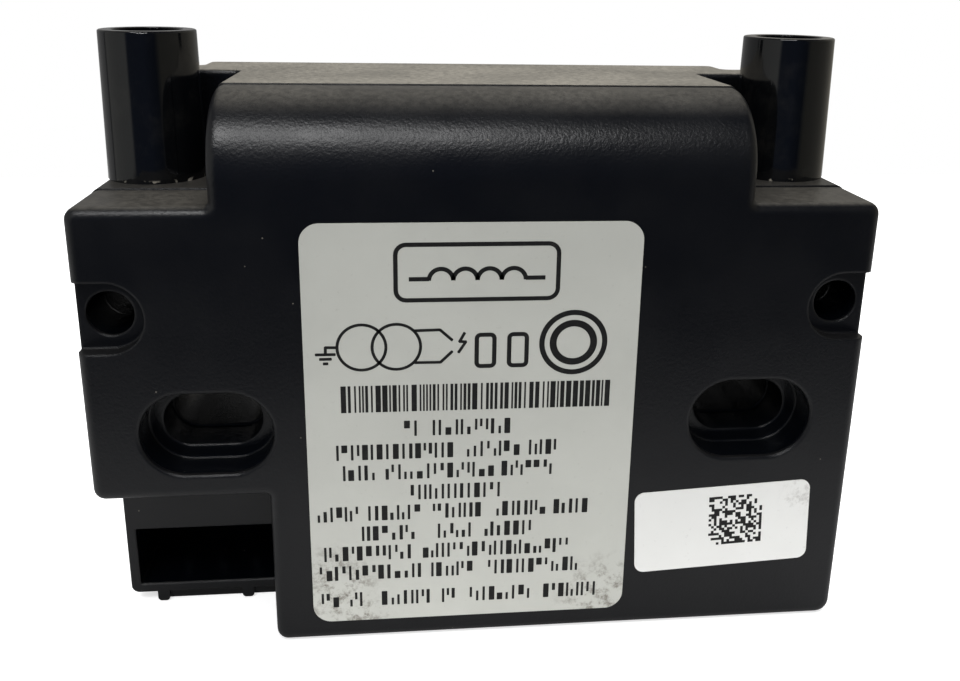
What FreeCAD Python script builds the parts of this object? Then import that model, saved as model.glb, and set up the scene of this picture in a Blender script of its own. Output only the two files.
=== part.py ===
# Electronic ignition transformer for a burner: a potted box with two high-voltage outlets on top.
# The box stands on its flat base. X runs across the front, Y from the front to the back, Z upwards.
# The origin is the middle of the base. Sizes are in millimetres.
import FreeCAD, Part
import math
import os
from FreeCAD import Vector

# The box, seen from the front: two shoulders with a hump between them
width = 90.0
shoulder_height = 54.5
shoulder_width = 14.9
hump_rise = 12.0
hump_rounding = 9.0
corner_radius = 1.4
base_corner_radius = 1.8
inner_corner_radius = 0.5
wall = 1.8

# The front cover, the housing behind it and the seam between them
cover_depth = 9.0
housing_depth = 27.4
front_edge_radius = 1.2
back_edge_radius = 0.6
housing_step = 0.25
housing_rise = 0.15
seam_gap = 0.3
seam_rim = 0.85
tongue_length = 1.5
fit = 0.1

# The wide wall at the back of the hump and its thinner ends behind the outlet tubes
back_wall_depth = 11.95
back_wall_side_step = 1.0
back_end_width = 8.0
back_end_step = 5.2

# The cut-out at the cover's lower left and the input socket in it
notch_width = 19.75
notch_height = 20.0
socket_width = 17.1
socket_height = 8.08
socket_lip = 1.14
socket_side_wall = 1.15
socket_side_step = 0.4
socket_corner_radius = 0.15
shroud_corner_radius = 0.95
lip_height = 1.41
base_set_back = 0.7
latch_rib_width = 1.5
latch_rib_pitch = 10.7
latch_rib_inset = 2.0
latch_rib_radius = 0.5

# The pin carrier and the input pins
carrier_depth = 3.0
carrier_flange = 1.2
carrier_margin = 0.7
carrier_board_gap = 4.5
pin_names = ("line", "earth", "neutral")
pin_pitch = 4.6
pin_thickness = 0.8
pin_height = 2.8
pin_tail_height = 1.0
pin_setback = 8.8

# Two fixing slots through the box, counterbored in the cover
slot_side_distance = 13.25
slot_notch_gap = 3.05
slot_width = 11.4
slot_height = 6.6
slot_step = 0.2
counterbore_margin = 1.75
counterbore_depth = 4.2
sleeve_wall = 1.4
boss_floor = 1.6
mouth_radius = 0.35

# Two corner holes through the box, each in a notch of the cover's side
corner_hole_side_distance = 3.45
corner_hole_drop = 12.3
corner_hole_radius = 2.6
lug_notch_margin = 1.5
lug_notch_depth = 2.0
lug_floor = 1.6
lug_wall = 1.4

# The two high-voltage outlet tubes and their contact pins
tube_side_distance = 6.1
tube_setback = 17.0
tube_rise = 17.5
tube_top_radius = 5.5
tube_base_radius = 5.75
tube_rim_radius = 0.25
tube_bore_radius = 4.0
tube_bore_depth = 16.0
tube_throat_radius = 2.3
tube_floor = 4.0
spigot_radius = 4.9
spigot_length = 5.0
terminal_radius = 1.0
terminal_point = 0.4
terminal_below_ledge = 0.6
terminal_tail = 1.9
terminal_collar_radius = 1.7
terminal_collar_height = 0.8

# Labels on the front face: the main one lies between the counterbores and below the hump's rounding
label_thickness = 0.15
main_label_left_gap = 3.65
main_label_right_gap = 6.95
main_label_base_gap = 2.75
main_label_top_gap = 4.75
main_label_radius = 2.2
small_label_width = 22.0
small_label_height = 11.0
small_label_gap = 1.1
small_label_z = 13.7
small_label_radius = 1.2
small_label_turn = 3.0

# The magnetic core: a U standing on an I, both of square section
core_side = 6.6
core_top_gap = 1.1
core_base_z = 24.9
core_clearance = 0.25

# The primary coil on the I core, between the legs
primary_leg_gap = 2.7
primary_flange_side = 15.4
primary_flange = 1.0
former_wall = 0.9
primary_winding_margin = 0.6
primary_winding_radius = 2.0
former_foot_width = 3.0
former_foot_height = 4.0
former_pin_radius = 0.4

# The two sectioned secondary coils on the legs of the U
secondary_sections = 5
secondary_radius = 10.8
secondary_flange = 0.9
secondary_winding_margin = 1.2
secondary_end_gap = 0.5
secondary_side_gap = 2.25
secondary_middle_gap = 1.0
secondary_board_gap = 0.7
crossover_slot = 1.6
crossover_wire = 0.8
crossover_depth = 2.0

# Wires from the secondaries to the outlet pins
lead_radius = 0.6
lead_bend = 1.3
lead_wall_gap = 0.25
lead_end_gap = 0.05

# The circuit board behind the coils
board_back_gap = 2.0
board_thickness = 1.6
board_margin = 1.2
board_sleeve_gap = 1.6
board_corner_radius = 0.8
board_tongue_margin = 5.0
board_tongue_rise = 11.2
board_hole_clearance = 0.15
tail_length = 1.0
wire_radius = 0.35
wire_bend = 0.8

# Parts on the board: sizes
part_gap = 1.6
capacitor_depth = 12.0
capacitor_height = 11.0
capacitor_edge_radius = 1.0
capacitor_wire_inset = 1.75
choke_radius = 4.5
choke_height = 13.0
choke_waist_radius = 3.2
choke_flange = 2.0
choke_wire_pitch = 4.0
fuse_radius = 4.2
fuse_height = 7.7
fuse_wire_pitch = 5.08
varistor_radius = 4.8
varistor_thickness = 3.6
varistor_wire_pitch = 5.0
resistor_radius = 2.4
resistor_length = 10.0
diode_radius = 1.35
diode_length = 5.2
diode_count = 4
diode_pitch = 4.2
axial_wire_run = 1.5
axial_lift = 0.8
thyristor_width = 8.0
thyristor_thickness = 3.0
thyristor_height = 11.0
thyristor_wire_pitch = 2.54
thyristor_wires = 3

# Parts on the board: places, measured from its right and lower edges
thyristor_place = (5.25, 13.8)
resistor_place = (17.25, 15.0)
first_diode_place = (7.65, 5.5)
fuse_place = (28.25, 12.5)
varistor_place = (28.25, 3.3)
choke_place = (38.25, 6.0)
capacitor_lift = 3.0

# Places that follow from the sizes above
half_width = width / 2
hump_half_width = half_width - shoulder_width
hump_height = shoulder_height + hump_rise
front = label_thickness - (cover_depth + housing_depth + label_thickness) / 2
seam = front + cover_depth
back = seam + housing_depth
inner_back = back - wall
housing_front = seam + seam_gap
housing_side = half_width - housing_step
room_inset = wall + housing_step
notch_x = notch_width - half_width
socket_left = socket_side_step + socket_side_wall - half_width
socket_right = socket_left + socket_width
socket_bottom = lip_height + socket_lip
socket_top = socket_bottom + socket_height
board_back = inner_back - board_back_gap
board_front = board_back - board_thickness
socket_back = board_front - carrier_board_gap - carrier_flange
socket_floor = socket_back - carrier_depth
pin_front = housing_front + pin_setback
slot_x = half_width - slot_side_distance
counterbore_width = slot_width + 2 * counterbore_margin
counterbore_height = slot_height + 2 * counterbore_margin
slot_z = notch_height + slot_notch_gap + counterbore_height / 2
boss_back = front + counterbore_depth + boss_floor
corner_hole_x = half_width - corner_hole_side_distance
corner_hole_z = shoulder_height - corner_hole_drop
lug_notch_radius = corner_hole_radius + lug_notch_margin
tube_x = half_width - tube_side_distance
tube_y = front + tube_setback
tube_seat_z = shoulder_height + housing_rise
tube_top_z = shoulder_height + tube_rise
tube_ledge_z = tube_top_z - tube_bore_depth
spigot_base_z = tube_seat_z - spigot_length
terminal_tail_z = spigot_base_z - terminal_tail
hump_room = hump_half_width - room_inset
secondary_room = (hump_room - secondary_side_gap - secondary_middle_gap / 2) / 2
secondary_flange_radius = min(secondary_radius, secondary_room)
core_y = board_front - secondary_board_gap - secondary_flange_radius
core_leg_pitch = 2 * (hump_room - secondary_side_gap - secondary_flange_radius)
primary_length = core_leg_pitch - core_side - 2 * primary_leg_gap
core_mid_z = core_base_z + core_side / 2
leg_base_z = core_base_z + core_side
core_top_z = hump_height - wall - core_top_gap
secondary_base_z = core_mid_z + primary_flange_side / 2 + secondary_end_gap
secondary_top_z = core_top_z - core_side - secondary_end_gap
secondary_winding_radius = secondary_flange_radius - secondary_winding_margin
secondary_pitch = (secondary_top_z - secondary_base_z - secondary_flange) / secondary_sections
former_bore = core_side + 2 * core_clearance
former_radius = former_bore / math.sqrt(2) + former_wall / 2
board_half_width = housing_side - wall - board_margin
board_base_z = wall + board_margin
board_top_z = slot_z - slot_height / 2 - sleeve_wall - board_sleeve_gap
main_label_left = counterbore_width / 2 - slot_x + main_label_left_gap
main_label_right = slot_x - counterbore_width / 2 - main_label_right_gap
main_label_top = hump_height - hump_rounding - main_label_top_gap
small_label_x = main_label_right + small_label_gap + small_label_width / 2
both_sides = (-1, 1)
side_names = {-1: "left", 1: "right"}
along_x = Vector(1, 0, 0)
along_y = Vector(0, 1, 0)
along_z = Vector(0, 0, 1)


def box(x0, x1, y0, y1, z0, z1):
    """Block between two corners."""
    return Part.makeBox(x1 - x0, y1 - y0, z1 - z0, Vector(x0, y0, z0))


def rod(start, direction, length, radius):
    """Round bar from a point."""
    return Part.makeCylinder(radius, length, start, direction)


def join(first, *others):
    """One solid out of several, with the lines between flush faces removed."""
    return first.fuse(list(others)).removeSplitter()


def carved(solid, tools):
    """The solid with each tool cut away in turn."""
    for tool in tools:
        solid = solid.cut(tool)
    return solid


def corner_arc(before, corner, after, radius):
    """Start, middle and end of the arc that rounds one corner of an outline."""
    to_before = (before - corner).normalize()
    to_after = (after - corner).normalize()
    half_angle = to_before.getAngle(to_after) / 2
    run = radius / math.tan(half_angle)
    bisector = (to_before + to_after).normalize()
    centre = corner + bisector * (radius / math.sin(half_angle))
    return corner + to_before * run, centre - bisector * radius, corner + to_after * run


def rounded_face(corners):
    """Flat face inside an outline of corner points, each given with the radius that rounds it."""
    runs = []
    for index, (corner, radius) in enumerate(corners):
        if radius > 0:
            before = corners[index - 1][0]
            after = corners[(index + 1) % len(corners)][0]
            runs.append(corner_arc(before, corner, after, radius))
        else:
            runs.append((corner,))
    edges = []
    for index, run in enumerate(runs):
        if len(run) > 1:
            edges.append(Part.Arc(*run).toShape())
        following = runs[(index + 1) % len(runs)][0]
        if run[-1].distanceToPoint(following) > 1e-6:
            edges.append(Part.LineSegment(run[-1], following).toShape())
    return Part.Face(Part.Wire(edges))


def prism_y(corners, y0, y1):
    """Outline in the front view, given as (x, z, radius), pushed from y0 to y1."""
    face = rounded_face([(Vector(x, y0, z), radius) for x, z, radius in corners])
    return face.extrude(along_y * (y1 - y0))


def prism_z(corners, z0, z1):
    """Outline in the plan view, given as (x, y, radius), pushed from z0 to z1."""
    face = rounded_face([(Vector(x, y, z0), radius) for x, y, radius in corners])
    return face.extrude(along_z * (z1 - z0))


def turned(corners, x, y):
    """Half section, given as (radius from the axis, z, corner radius), turned about an upright axis."""
    face = rounded_face([(Vector(x + r, y, z), radius) for r, z, radius in corners])
    return face.revolve(Vector(x, y, 0), along_z, 360)


def rectangle(x, z, across, high, radius):
    """Corners of a rounded rectangle round its centre."""
    return [
        (x + across / 2, z - high / 2, radius),
        (x + across / 2, z + high / 2, radius),
        (x - across / 2, z + high / 2, radius),
        (x - across / 2, z - high / 2, radius),
    ]


def obround(x, z, across, high, y0, y1):
    """Long hole or boss with round ends, along Y."""
    return prism_y(rectangle(x, z, across, high, high / 2), y0, y1)


def bend_piece(start, middle, end, radius):
    """Round bar bent along an arc."""
    arc = Part.Arc(start, middle, end).toShape()
    circle = Part.makeCircle(radius, start, arc.tangentAt(arc.FirstParameter))
    turn = math.degrees(arc.LastParameter - arc.FirstParameter)
    return Part.Face(Part.Wire(circle)).revolve(arc.Curve.Center, arc.Curve.Axis, turn)


def round_wire(points, radius, bend):
    """Bent wire through points: straight round runs joined by tangent bends."""
    pieces = []
    start = points[0]
    for before, corner, after in zip(points, points[1:], points[2:]):
        arc_start, arc_middle, arc_end = corner_arc(before, corner, after, bend)
        pieces.append(rod(start, arc_start - start, start.distanceToPoint(arc_start), radius))
        pieces.append(bend_piece(arc_start, arc_middle, arc_end, radius))
        start = arc_end
    pieces.append(rod(start, points[-1] - start, start.distanceToPoint(points[-1]), radius))
    return join(*pieces)


def side_channel(side, radius, y0, y1):
    """Round end at a corner hole, carried on as a straight channel past the side of the box."""
    round_end = rod(Vector(side * corner_hole_x, y0, corner_hole_z), along_y, y1 - y0, radius)
    inner, outer = sorted((side * corner_hole_x, side * (half_width + wall)))
    straight = box(inner, outer, y0, y1, corner_hole_z - radius, corner_hole_z + radius)
    return round_end.fuse(straight)


def rounded(solid, radius, wanted):
    """The solid with a fillet on each edge that the test accepts."""
    return solid.makeFillet(radius, [edge for edge in solid.Edges if wanted(edge.BoundBox)])


def same(value, target):
    """True where two places agree."""
    return abs(value - target) < 1e-4


def lies_at_y(bounds, y):
    """True for an edge that lies in one plane across Y."""
    return same(bounds.YMin, y) and same(bounds.YMax, y)


def cover_outline(inset):
    """Front view of the cover, with the cut-out for the input socket."""
    side = half_width - inset
    hump = hump_half_width - inset
    shoulder = shoulder_height - inset
    outside = max(corner_radius - inset, 0)
    inside = inner_corner_radius + inset
    return [
        (side, inset, max(base_corner_radius - inset, 0)),
        (side, shoulder, outside),
        (hump, shoulder, inside),
        (hump, hump_height - inset, 0),
        (-hump, hump_height - inset, 0),
        (-hump, shoulder, inside),
        (-side, shoulder, outside),
        (-side, notch_height + inset, outside),
        (notch_x + inset, notch_height + inset, inside),
        (notch_x + inset, inset, outside),
    ]


def housing_outline(inset, base_z, top):
    """Front view of the housing up to its shoulders."""
    side = half_width - inset
    outside = max(corner_radius - inset, 0)
    base = max(base_corner_radius - inset, 0)
    return [(side, base_z, base), (side, top, outside), (-side, top, outside), (-side, base_z, base)]


def upper_plan(inset, y0, y1):
    """Plan view of the housing above its shoulders: the hump, the wide back wall and its thinner ends."""
    hump = hump_half_width - inset
    end = half_width - back_wall_side_step - inset
    block = half_width - back_wall_side_step - back_end_width - inset
    near = back - back_wall_depth + inset
    step = back - back_end_step - inset
    outside = max(corner_radius - inset, 0)
    inside = inner_corner_radius + inset
    right = [
        (hump, y0, 0),
        (hump, near, inside),
        (end, near, outside),
        (end, step, outside),
        (block, step, inside),
        (block, y1, outside),
    ]
    return right + [(-x, y, radius) for x, y, radius in reversed(right)]


def rolled_over(inset):
    """Long bar whose side view is the box: its front rolls over into the top of the hump."""
    left, top = -2 * half_width, hump_height - inset
    corners = [
        (Vector(left, back + wall, -top), 0),
        (Vector(left, back + wall, top), 0),
        (Vector(left, front + inset, top), hump_rounding - inset),
        (Vector(left, front + inset, -top), 0),
    ]
    return rounded_face(corners).extrude(along_x * (-2 * left))


def socket_block():
    """The solid corner of the housing that the input socket is sunk into."""
    return box(-width, notch_x + wall, seam - wall, socket_back, -wall, notch_height + wall)


def cover_room():
    """The space inside the cover."""
    return prism_y(cover_outline(wall), front, seam).common(rolled_over(wall))


def housing_room():
    """The space inside the housing."""
    lower = prism_y(housing_outline(room_inset, wall, shoulder_height - room_inset), seam, inner_back)
    plan = upper_plan(room_inset, seam, inner_back)
    upper = prism_z(plan, notch_height + wall, hump_height - room_inset)
    return lower.fuse(upper).cut(socket_block())


def fixing_voids():
    """Air of the fixing slots and corner holes, through every piece that they pass."""
    voids = []
    for side in both_sides:
        x = side * slot_x
        sunk_y = front + counterbore_depth
        voids.append(obround(x, slot_z, counterbore_width, counterbore_height, front - wall, sunk_y))
        voids.append(obround(x, slot_z, slot_width, slot_height, front, seam))
        rear_width, rear_height = slot_width - 2 * slot_step, slot_height - 2 * slot_step
        voids.append(obround(x, slot_z, rear_width, rear_height, seam, back + wall))
        voids.append(side_channel(side, lug_notch_radius, front - wall, front + lug_notch_depth))
        hole_start = Vector(side * corner_hole_x, front, corner_hole_z)
        voids.append(rod(hole_start, along_y, back + wall - front, corner_hole_radius))
    return voids


def cover_skin():
    """The outside of the cover as one solid, with its front edges rounded."""
    solid = prism_y(cover_outline(0), front, seam).common(rolled_over(0))

    def front_edge(bounds):
        starts_roll = same(bounds.ZMin, hump_height - hump_rounding) and same(bounds.ZMin, bounds.ZMax)
        on_end = same(bounds.XMin, bounds.XMax) and same(abs(bounds.XMin), hump_half_width)
        rolls_over = on_end and bounds.ZMin > shoulder_height + inner_corner_radius
        on_front = lies_at_y(bounds, front) and not starts_roll
        return on_front or (rolls_over and not lies_at_y(bounds, seam))

    return rounded(solid, front_edge_radius, front_edge)


def make_front_cover():
    """Moulded cover: a shell with slot bosses and sleeves, corner lugs and a rebate for the tongue."""
    skin = cover_skin()
    rebate = prism_y(cover_outline(seam_rim), seam - tongue_length - fit, seam)
    rebate = rebate.common(rolled_over(seam_rim))
    shell = carved(skin, [cover_room(), rebate])
    added = []
    for side in both_sides:
        boss_width = counterbore_width + 2 * sleeve_wall
        boss_height = counterbore_height + 2 * sleeve_wall
        added.append(obround(side * slot_x, slot_z, boss_width, boss_height, front + wall, boss_back))
        sleeve_width = slot_width + 2 * sleeve_wall
        sleeve_height = slot_height + 2 * sleeve_wall
        added.append(obround(side * slot_x, slot_z, sleeve_width, sleeve_height, boss_back, seam))
        lug_end = front + lug_notch_depth + lug_floor
        lug_front = side_channel(side, lug_notch_radius + lug_wall, front, lug_end)
        lug_back = side_channel(side, corner_hole_radius + lug_wall, front, seam)
        added += [lug_front.common(skin), lug_back.common(skin)]
    cover = carved(shell.fuse(added), fixing_voids()).removeSplitter()

    def slot_mouth(bounds):
        in_height = abs((bounds.ZMin + bounds.ZMax) / 2 - slot_z) < counterbore_height / 2 + mouth_radius
        middle = abs((bounds.XMin + bounds.XMax) / 2)
        in_width = abs(middle - slot_x) < counterbore_width / 2 + mouth_radius
        return lies_at_y(bounds, front) and in_height and in_width

    return rounded(cover, mouth_radius, slot_mouth)


def housing_skin():
    """The outside of the housing as one solid, with its back and top edges rounded."""
    outline = housing_outline(housing_step, 0, shoulder_height + housing_rise)
    lower = prism_y(outline, housing_front, back)
    lower = rounded(lower, back_edge_radius, lambda bounds: lies_at_y(bounds, back))
    top = hump_height + housing_rise
    upper = prism_z(upper_plan(housing_step, housing_front, back), notch_height, top)

    def top_edge(bounds):
        return same(bounds.ZMin, top) and not lies_at_y(bounds, housing_front)

    return join(lower, rounded(upper, back_edge_radius, top_edge))


def make_tongue():
    """Thin rim round the housing's mouth that plugs into the cover's rebate, clear of the cover's lugs."""
    inset = seam_rim + fit
    rim = prism_y(cover_outline(inset), seam - tongue_length, housing_front).common(rolled_over(inset))
    inside = prism_y(cover_outline(wall), seam - wall, housing_front + wall).common(rolled_over(wall))
    rim = rim.cut(inside)
    clearances = [
        side_channel(side, corner_hole_radius + lug_wall + fit, seam - wall, seam) for side in both_sides
    ]
    return carved(rim, clearances)


def socket_cuts():
    """Air of the socket, of the undercut below its lip and of its set-back side."""
    opening = prism_y(
        rectangle(
            (socket_left + socket_right) / 2,
            (socket_bottom + socket_top) / 2,
            socket_width,
            socket_height,
            socket_corner_radius,
        ),
        seam - wall,
        socket_back,
    )
    first_rib = socket_left + latch_rib_inset
    under_left = box(-width, first_rib, seam - wall, socket_back, -wall, lip_height)
    set_back = box(first_rib, notch_x, seam - wall, housing_front + base_set_back, -wall, lip_height)
    for rib_x in (first_rib, first_rib + latch_rib_pitch):
        rib = [
            (rib_x + latch_rib_width, 0, latch_rib_radius),
            (rib_x + latch_rib_width, lip_height, 0),
            (rib_x, lip_height, 0),
            (rib_x, 0, latch_rib_radius),
        ]
        set_back = set_back.cut(prism_y(rib, seam - wall, back))
    side_x = socket_side_step - half_width
    side = box(-width, side_x, seam - wall, socket_back, -wall, notch_height)
    centre_x, centre_z = side_x + shroud_corner_radius, lip_height + shroud_corner_radius
    corner = box(-width, centre_x, seam - wall, socket_back, -wall, centre_z)
    arc_start = Vector(centre_x, seam - wall, centre_z)
    corner = corner.cut(rod(arc_start, along_y, socket_back + wall - seam, shroud_corner_radius))
    return [opening, under_left, set_back, side, corner]


def make_rear_housing():
    """Moulded tub with the wide back wall, the socket block, slot sleeves and corner lugs."""
    skin = housing_skin()
    mouth = prism_y(cover_outline(seam_rim + fit), seam, housing_front).common(rolled_over(seam_rim + fit))
    added = [make_tongue()]
    for side in both_sides:
        sleeve_width = slot_width + 2 * sleeve_wall
        sleeve_height = slot_height + 2 * sleeve_wall
        added.append(obround(side * slot_x, slot_z, sleeve_width, sleeve_height, seam, inner_back))
        lug = side_channel(side, corner_hole_radius + lug_wall, seam, inner_back)
        added.append(lug.common(skin.fuse(mouth)))
    removed = fixing_voids() + socket_cuts()
    for side in both_sides:
        hole_start = Vector(side * tube_x, tube_y, spigot_base_z)
        removed.append(rod(hole_start, along_z, spigot_length + wall, spigot_radius + fit))
    return carved(skin.cut(housing_room()).fuse(added), removed).removeSplitter()


def make_outlet_tube(side):
    """Glossy insulating tube with a stepped bore, standing on its shoulder with a spigot below."""
    floor_z = spigot_base_z + tube_floor
    pin_hole = terminal_radius + fit / 2
    section = [
        (pin_hole, spigot_base_z, 0),
        (spigot_radius, spigot_base_z, 0),
        (spigot_radius, tube_seat_z, 0),
        (tube_base_radius, tube_seat_z, 0),
        (tube_top_radius, tube_top_z, tube_rim_radius),
        (tube_bore_radius, tube_top_z, tube_rim_radius / 2),
        (tube_bore_radius, tube_ledge_z, 0),
        (tube_throat_radius, tube_ledge_z, 0),
        (tube_throat_radius, floor_z, 0),
        (pin_hole, floor_z, 0),
    ]
    return turned(section, side * tube_x, tube_y)


def make_terminal(side):
    """Contact pin with a collar that seats on the floor of its tube."""
    floor_z = spigot_base_z + tube_floor
    tip_z = tube_ledge_z - terminal_below_ledge
    section = [
        (0, terminal_tail_z, 0),
        (terminal_radius, terminal_tail_z, 0),
        (terminal_radius, floor_z, 0),
        (terminal_collar_radius, floor_z, 0),
        (terminal_collar_radius, floor_z + terminal_collar_height, 0),
        (terminal_radius, floor_z + terminal_collar_height, 0),
        (terminal_radius, tip_z - terminal_point, 0),
        (terminal_radius - terminal_point, tip_z, 0),
        (0, tip_z, 0),
    ]
    return turned(section, side * tube_x, tube_y)


def make_main_label():
    """Foil label in the middle of the front."""
    corners = [
        (main_label_right, main_label_base_gap, main_label_radius),
        (main_label_right, main_label_top, main_label_radius),
        (main_label_left, main_label_top, main_label_radius),
        (main_label_left, main_label_base_gap, main_label_radius),
    ]
    return prism_y(corners, front - label_thickness, front)


def make_small_label():
    """Small foil label at the lower right, stuck on a little askew."""
    corners = rectangle(
        small_label_x, small_label_z, small_label_width, small_label_height, small_label_radius
    )
    label = prism_y(corners, front - label_thickness, front)
    label.rotate(Vector(small_label_x, 0, small_label_z), along_y, -small_label_turn)
    return label


def pin_places():
    """X of each input pin and the height of their row."""
    middle = (socket_left + socket_right) / 2
    first = middle - pin_pitch * (len(pin_names) - 1) / 2
    return [first + pin_pitch * index for index in range(len(pin_names))], (socket_bottom + socket_top) / 2


def make_pin_carrier():
    """Insert that closes the back of the socket and holds the input pins."""
    places, row_z = pin_places()
    middle = (socket_left + socket_right) / 2
    plug = rectangle(middle, row_z, socket_width - 2 * fit, socket_height - 2 * fit, socket_corner_radius)
    left = room_inset + fit - half_width
    flange = box(
        left,
        socket_right + carrier_margin,
        socket_back,
        socket_back + carrier_flange,
        socket_bottom - carrier_margin,
        socket_top + carrier_margin,
    )
    holes = [
        box(
            x - pin_thickness / 2,
            x + pin_thickness / 2,
            seam,
            back,
            row_z - pin_height / 2,
            row_z + pin_height / 2,
        )
        for x in places
    ]
    return carved(join(prism_y(plug, socket_floor, socket_back), flange), holes)


def make_input_pin(x, row_z):
    """Flat blade in the socket with a narrow tail through the board."""
    tail_start = socket_back + carrier_flange
    low, high = x - pin_thickness / 2, x + pin_thickness / 2
    blade_half, tail_half = pin_height / 2, pin_tail_height / 2
    blade = box(low, high, pin_front, tail_start, row_z - blade_half, row_z + blade_half)

    def at_tip(bounds):
        return lies_at_y(bounds, pin_front) and same(bounds.ZMin, bounds.ZMax)

    blade = blade.makeChamfer(pin_thickness / 3, [e for e in blade.Edges if at_tip(e.BoundBox)])
    tail = box(low, high, tail_start, board_back + tail_length, row_z - tail_half, row_z + tail_half)
    return join(blade, tail)


def board_place(place):
    """Point on the board from its distances to the right and lower edges."""
    return board_half_width - place[0], board_base_z + place[1]


def board_wires(points):
    """Straight wires through the board at the given places."""
    start_y = board_front - wire_radius
    length = board_back + tail_length - start_y
    return [rod(Vector(x, start_y, z), along_y, length, wire_radius) for x, z in points]


def pair(x, z, pitch):
    """Two places side by side."""
    return [(x - pitch / 2, z), (x + pitch / 2, z)]


def make_fuse():
    """Round radial fuse."""
    x, z = board_place(fuse_place)
    can = rod(Vector(x, board_front - fuse_height, z), along_y, fuse_height, fuse_radius)
    wires = pair(x, z, fuse_wire_pitch)
    return join(can, *board_wires(wires)), wires


def make_varistor():
    """Disc varistor standing on its wires."""
    x, z = board_place(varistor_place)
    centre_y = board_front - varistor_radius - axial_lift
    base = Vector(x, centre_y, z - varistor_thickness / 2)
    disc = rod(base, along_z, varistor_thickness, varistor_radius)
    wires = pair(x, z, varistor_wire_pitch)
    leg_length = board_front - centre_y
    legs = [rod(Vector(wx, centre_y, wz), along_y, leg_length, wire_radius) for wx, wz in wires]
    return join(disc, *legs, *board_wires(wires)), wires


def make_choke():
    """Drum choke with a waisted winding, standing on end."""
    x, z = board_place(choke_place)
    start = board_front - choke_height
    drum = [
        rod(Vector(x, start, z), along_y, choke_flange, choke_radius),
        rod(Vector(x, board_front - choke_flange, z), along_y, choke_flange, choke_radius),
        rod(Vector(x, start, z), along_y, choke_height, choke_waist_radius),
    ]
    wires = pair(x, z, choke_wire_pitch)
    return join(*drum, *board_wires(wires)), wires


def make_capacitor():
    """Film capacitor in the room between the socket block and the choke."""
    left = notch_x + wall + part_gap
    right = board_place(choke_place)[0] - choke_radius - part_gap
    x, z = (left + right) / 2, board_base_z + capacitor_lift + capacitor_height / 2
    case = prism_y(
        rectangle(x, z, right - left, capacitor_height, capacitor_edge_radius),
        board_front - capacitor_depth,
        board_front,
    )
    wires = pair(x, z, right - left - 2 * capacitor_wire_inset)
    return join(case, *board_wires(wires)), wires


def axial_part(centre, axis, length, radius):
    """Round body lying above the board, with wires bent down into it at both ends."""
    body = rod(centre - axis * (length / 2), axis, length, radius)
    end_y = board_back + tail_length
    pieces = []
    wires = []
    for sign in both_sides:
        start = centre + axis * (sign * (length / 2 - wire_radius))
        elbow = centre + axis * (sign * (length / 2 + axial_wire_run))
        pieces.append(round_wire([start, elbow, Vector(elbow.x, end_y, elbow.z)], wire_radius, wire_bend))
        wires.append((elbow.x, elbow.z))
    return join(body, *pieces), wires


def make_resistor():
    """Power resistor lying across the board."""
    x, z = board_place(resistor_place)
    centre = Vector(x, board_front - axial_lift - resistor_radius, z)
    return axial_part(centre, along_x, resistor_length, resistor_radius)


def make_diodes():
    """Row of upright rectifier diodes."""
    x, z = board_place(first_diode_place)
    bodies = []
    wires = []
    for index in range(diode_count):
        centre = Vector(x - index * diode_pitch, board_front - axial_lift - diode_radius, z)
        body, places = axial_part(centre, along_z, diode_length, diode_radius)
        bodies.append(body)
        wires += places
    return Part.makeCompound(bodies), wires


def make_thyristor():
    """Flat power switch standing on three wires."""
    x, z = board_place(thyristor_place)
    foot_y = board_front - axial_lift
    half_width_x, half_thickness = thyristor_width / 2, thyristor_thickness / 2
    body = box(x - half_width_x, x + half_width_x, foot_y - thyristor_height, foot_y, z - half_thickness,
               z + half_thickness)
    middle = (thyristor_wires - 1) / 2
    wires = [(x + (index - middle) * thyristor_wire_pitch, z) for index in range(thyristor_wires)]
    legs = [rod(Vector(wx, foot_y - wire_radius, wz), along_y, axial_lift + wire_radius, wire_radius)
            for wx, wz in wires]
    return join(body, *legs, *board_wires(wires)), wires


def former_pins():
    """Places of the primary former's two pins in the board."""
    return pair(0, core_mid_z, primary_length - former_foot_width)


def make_board(wires):
    """Circuit board with a tongue up to the transformer and a hole for every wire and pin."""
    tongue = primary_length / 2 + board_tongue_margin
    tongue_top = board_top_z + board_tongue_rise
    right = [
        (board_half_width, board_base_z, board_corner_radius),
        (board_half_width, board_top_z, board_corner_radius),
        (tongue, board_top_z, board_corner_radius),
        (tongue, tongue_top, board_corner_radius),
    ]
    corners = right + [(-x, z, radius) for x, z, radius in reversed(right)]
    board = prism_y(corners, board_front, board_back)
    holes = []
    for x, z in wires:
        start = Vector(x, board_front - 1, z)
        holes.append(rod(start, along_y, board_thickness + 2, wire_radius + board_hole_clearance))
    for x, z in former_pins():
        start = Vector(x, board_front - 1, z)
        holes.append(rod(start, along_y, board_thickness + 2, former_pin_radius + board_hole_clearance))
    places, row_z = pin_places()
    for x in places:
        half_x = pin_thickness / 2 + board_hole_clearance
        half_z = pin_tail_height / 2 + board_hole_clearance
        holes.append(box(x - half_x, x + half_x, board_front, board_back, row_z - half_z, row_z + half_z))
    return carved(board, holes)


def core_bar(z0, z1):
    """Square bar of the core from leg to leg."""
    reach = (core_leg_pitch + core_side) / 2
    return box(-reach, reach, core_y - core_side / 2, core_y + core_side / 2, z0, z1)


def make_upper_core():
    """U-shaped ferrite core, legs down."""
    half = core_side / 2
    legs = []
    for side in both_sides:
        x = side * core_leg_pitch / 2
        legs.append(box(x - half, x + half, core_y - half, core_y + half, leg_base_z, core_top_z - half))
    return join(core_bar(core_top_z - core_side, core_top_z), *legs)


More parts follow.
